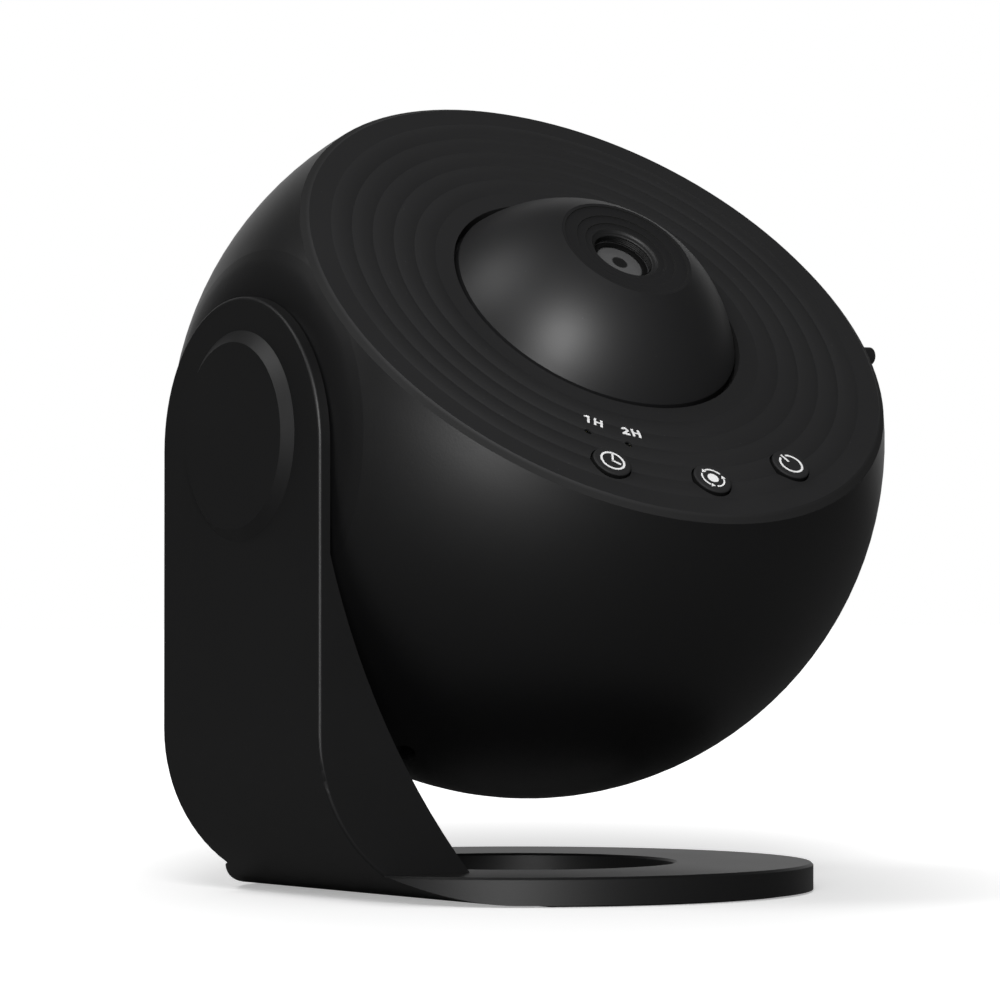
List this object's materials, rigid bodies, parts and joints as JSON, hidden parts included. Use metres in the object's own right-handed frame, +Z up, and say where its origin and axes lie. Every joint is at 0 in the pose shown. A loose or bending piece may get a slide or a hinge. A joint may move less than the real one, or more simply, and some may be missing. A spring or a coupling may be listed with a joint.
{
  "type": "planetarium projector",
  "caption": "Star projector with a truncated ball on a tilting arm, a ring base, a rippled face with push buttons and a central lens dome.",
  "frame": {"origin": "centre of the base ring's hole, on the plane the stand rests on; the hole's moulded wall starts 0.4 mm above that plane, because the foot pad stands proud", "axes": "+Z up; the lens looks towards -Y and, at rest, 46.7 degrees up; the arm is on the -X side and the focus knob on the +X side; the tilt axis runs along X, 94.1 mm up, and the ball's centre is 2 mm to the +X side of the ring's"},
  "size_m": [0.1496, 0.1478, 0.1657],
  "materials": {
    "casing_black": "soft matte, fine moulded grain",
    "panel_black": "soft matte, fine moulded grain",
    "dome_black": "soft matte",
    "button_black": "smooth matte",
    "knob_black": "smooth matte",
    "stand_black": "soft matte, fine moulded grain",
    "inner_black": "plain moulded",
    "acetal_white": "smooth, slightly waxy",
    "lens_glass": "polished",
    "film": "glossy film behind glass",
    "light_pipe": "clear acrylic",
    "ring_metal": "turned, bright",
    "sink_metal": "extruded, satin",
    "screw_steel": "zinc plated",
    "bright_steel": "polished",
    "ballast_steel": "mill finish",
    "motor_steel": "zinc plated can",
    "pad_rubber": "matte foam rubber",
    "board_green": "solder mask",
    "chip_black": "moulded component",
    "led_yellow": "phosphor under silicone"
  },
  "bodies": {
    "stand": {"stand_bracket": "stand_black", "arm_cover": "stand_black", "arm_cover_screws": "screw_steel", "ballast_plate": "ballast_steel", "base_pad": "pad_rubber", "pivot_cap": "stand_black", "pivot_retainer": "inner_black", "retainer_screws": "screw_steel", "friction_spring": "bright_steel"},
    "ball": {"ball_casing": "casing_black", "face_panel": "panel_black", "chassis_plate": "inner_black", "panel_screws": "screw_steel", "casing_screws": "screw_steel", "pivot_bush": "acetal_white", "drive_motor": "motor_steel", "motor_screws": "screw_steel", "lamp_housing": "inner_black", "housing_screws": "screw_steel", "lamp_screws": "screw_steel", "condenser_lens": "lens_glass", "lamp_board": "board_green", "lamp_emitter": "led_yellow", "heat_sink": "sink_metal", "control_board": "board_green", "control_board_screws": "screw_steel", "button_switches": "chip_black", "timer_lights": "led_yellow", "timer_light_pipes": "light_pipe", "main_board": "board_green", "main_board_screws": "screw_steel", "main_board_parts": "chip_black", "usb_socket": "bright_steel"},
    "dome": {"lens_dome": "dome_black", "lens_barrel": "inner_black", "front_lens": "lens_glass", "lens_retaining_ring": "ring_metal", "rear_lens": "lens_glass", "rear_lens_ring": "ring_metal"},
    "focus": {"focus_ring": "inner_black", "focus_knob": "knob_black"},
    "stage": {"film_stage": "inner_black", "follower_pins": "bright_steel"},
    "turntable": {"film_turntable": "acetal_white", "film_frame": "inner_black", "film_slide": "film"},
    "pinion": {"motor_shaft": "bright_steel", "motor_pinion": "acetal_white"},
    "timer": {"timer_button": "button_black"},
    "rotate": {"rotate_button": "button_black"},
    "power": {"power_button": "button_black"}
  },
  "joints": [
    {"name": "ball_tilt", "type": "hinge", "parent": "stand", "child": "ball", "pos_m": [0.002, 0, 0.0941], "axis": [1, 0, 0], "range_deg": [-43.3, 43.3]},
    {"name": "dome_twist", "type": "hinge", "parent": "ball", "child": "dome", "pos_m": [0.002, 0, 0.0941], "axis": [0, -0.6858, 0.7278], "range_deg": [0, 30]},
    {"name": "focus_lever", "type": "hinge", "parent": "ball", "child": "focus", "pos_m": [0.002, 0, 0.0941], "axis": [0, -0.6858, 0.7278], "range_deg": [-12, 12]},
    {"name": "focus_slide", "type": "slide", "parent": "ball", "child": "stage", "axis": [0, -0.6858, 0.7278], "range_m": [-0.001, 0.001]},
    {"name": "turntable_spin", "type": "hinge", "parent": "stage", "child": "turntable", "pos_m": [0.002, 0, 0.0941], "axis": [0, -0.6858, 0.7278], "continuous": true},
    {"name": "pinion_spin", "type": "hinge", "parent": "ball", "child": "pinion", "pos_m": [0.002, 0.02795, 0.12044], "axis": [0, -0.6858, 0.7278], "continuous": true},
    {"name": "timer_press", "type": "slide", "parent": "ball", "child": "timer", "axis": [0, 0.6858, -0.7278], "range_m": [0, 0.0005], "stiffness_N_per_m": 400, "springref_m": -0.0006},
    {"name": "rotate_press", "type": "slide", "parent": "ball", "child": "rotate", "axis": [0, 0.6858, -0.7278], "range_m": [0, 0.0005], "stiffness_N_per_m": 400, "springref_m": -0.0006},
    {"name": "power_press", "type": "slide", "parent": "ball", "child": "power", "axis": [0, 0.6858, -0.7278], "range_m": [0, 0.0005], "stiffness_N_per_m": 400, "springref_m": -0.0006}
  ],
  "couplings": [
    {"joint": "focus_lever", "follows": "focus_slide", "rad_per_m": 209.44},
    {"joint": "pinion_spin", "follows": "turntable_spin", "ratio": -5}
  ]
}
